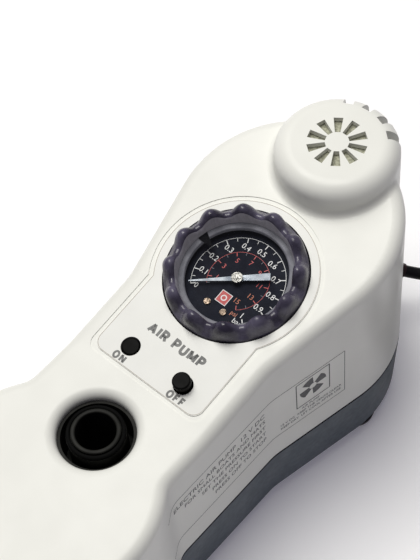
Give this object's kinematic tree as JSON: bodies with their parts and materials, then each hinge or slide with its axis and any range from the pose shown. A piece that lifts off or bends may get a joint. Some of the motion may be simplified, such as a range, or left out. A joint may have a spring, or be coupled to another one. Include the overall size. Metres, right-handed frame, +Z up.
{
  "type": "electric inflator pump",
  "caption": "Electric 12 V high-pressure inflator pump: two-lobed housing, pressure gauge with a turning cut-off ring, push buttons, hose port, vented dome and a lead with a plug.",
  "frame": {"origin": "centre of the housing's footprint, on the surface that the feet stand on; the lead, its coil and its plug aren't counted", "axes": "+Z up, +X along the housing towards the vented dome, +Y across it, towards the ON button's side"},
  "size_m": [0.3282, 0.1893, 0.144],
  "materials": {
    "shell": "satin moulded",
    "base": "fine texture",
    "gasket": "matt",
    "overlay": "satin film",
    "foot_rubber": "matt",
    "steel": "plain",
    "gauge_black": "satin",
    "bezel_grey": "satin",
    "dial_blue_black": "matt printed",
    "brass": "plain",
    "needle_silver": "satin",
    "hub_bright": "bright",
    "smoked_ring": "polished smoked",
    "clear_lens": "polished",
    "mark_black": "matt",
    "inner_plastic": "matt",
    "button_black": "satin",
    "filter_foam": "open foam",
    "socket_black": "satin",
    "ferrite": "matt",
    "iron": "plain",
    "bracket_paint": "matt",
    "cast_alloy": "as cast",
    "ring_ptfe": "plain",
    "board_green": "printed board",
    "relay_black": "plain",
    "lead_black": "satin",
    "tie_black": "satin",
    "plug_black": "fine texture",
    "plug_metal": "bright"
  },
  "bodies": {
    "housing": {"upper_shell": "shell", "base_shell": "base", "seam_gasket": "gasket", "panel_overlay": "overlay", "feet": "foot_rubber", "housing_screws": "steel", "gauge_case": "gauge_black", "gauge_bezel": "bezel_grey", "dial_face": "dial_blue_black", "dial_screws": "brass", "bourdon_tube": "brass", "gauge_stem": "brass", "rocker_pin": "steel", "switch_block": "inner_plastic", "intake_filter": "filter_foam", "filter_tray": "inner_plastic", "hose_socket": "socket_black", "socket_seal": "gasket", "air_manifold": "inner_plastic", "air_duct": "inner_plastic", "blower_motor_can": "steel", "blower_magnets": "ferrite", "volute": "inner_plastic", "volute_cover": "inner_plastic", "motor_bracket": "bracket_paint", "compressor_motor_can": "steel", "cylinder_barrel": "cast_alloy", "cylinder_head": "cast_alloy", "compressor_frame": "bracket_paint", "control_board": "board_green", "relay": "relay_black", "gauge_pipe": "cast_alloy", "delivery_pipe": "cast_alloy", "cable_gland": "lead_black", "lead_tube": "lead_black", "lead_coil": "lead_black", "lead_tail": "lead_black", "coil_tie": "tie_black", "plug_body": "plug_black", "plug_contacts": "plug_metal"},
    "needle": {"needle": "needle_silver", "needle_hub": "hub_bright"},
    "set_ring": {"set_ring": "smoked_ring", "set_lens": "clear_lens", "set_pointer": "mark_black"},
    "on_button": {"on_button": "button_black"},
    "off_button": {"off_button": "button_black"},
    "switch_rocker": {"switch_rocker": "inner_plastic"},
    "blower_rotor": {"blower_shaft": "steel", "blower_armature": "iron", "impeller": "inner_plastic"},
    "piston_rotor": {"compressor_shaft": "steel", "compressor_armature": "iron", "crank_disc": "iron"},
    "piston": {"piston": "cast_alloy", "piston_ring": "ring_ptfe", "wrist_pin": "steel"},
    "con_rod": {"con_rod": "cast_alloy"},
    "plug_tip": {"plug_tip": "plug_metal"}
  },
  "joints": [
    {"name": "cutoff_setting", "type": "hinge", "parent": "housing", "child": "set_ring", "pos_m": [0.0396, 0, 0.115], "axis": [-0.153, 0, 0.9882], "range_deg": [-211, 59]},
    {"name": "gauge_needle", "type": "hinge", "parent": "housing", "child": "needle", "pos_m": [0.0396, 0, 0.115], "axis": [-0.153, 0, 0.9882], "range_deg": [-266, 0], "stiffness_Nm_per_rad": 0.0005},
    {"name": "on_push", "type": "slide", "parent": "housing", "child": "on_button", "axis": [-0.153, 0, 0.9882], "range_m": [0, 0.005]},
    {"name": "off_push", "type": "slide", "parent": "housing", "child": "off_button", "axis": [-0.153, 0, 0.9882], "range_m": [-0.005, 0]},
    {"name": "rocker_tilt", "type": "hinge", "parent": "housing", "child": "switch_rocker", "pos_m": [-0.01103, 0, 0.09886], "axis": [0.9882, 0, 0.153], "range_deg": [0, 19]},
    {"name": "blower_spin", "type": "hinge", "parent": "housing", "child": "blower_rotor", "pos_m": [0.066, 0, 0.056], "axis": [0, 0, 1], "continuous": true},
    {"name": "crank_spin", "type": "hinge", "parent": "housing", "child": "piston_rotor", "pos_m": [-0.08, 0, 0.028], "axis": [1, 0, 0], "continuous": true},
    {"name": "piston_stroke", "type": "slide", "parent": "housing", "child": "piston", "axis": [0, 0, 1], "range_m": [-0.014, 0]},
    {"name": "rod_swing", "type": "hinge", "parent": "piston", "child": "con_rod", "pos_m": [-0.096, 0, 0.077], "axis": [1, 0, 0], "range_deg": [-9.6, 9.6]},
    {"name": "plug_tip_push", "type": "slide", "parent": "housing", "child": "plug_tip", "axis": [1, 0, 0], "range_m": [0, 0.003], "stiffness_N_per_m": 600, "springref_m": -0.001}
  ],
  "couplings": [
    {"joint": "off_push", "follows": "on_push", "ratio": -1},
    {"joint": "rocker_tilt", "follows": "on_push", "rad_per_m": 66.059}
  ]
}
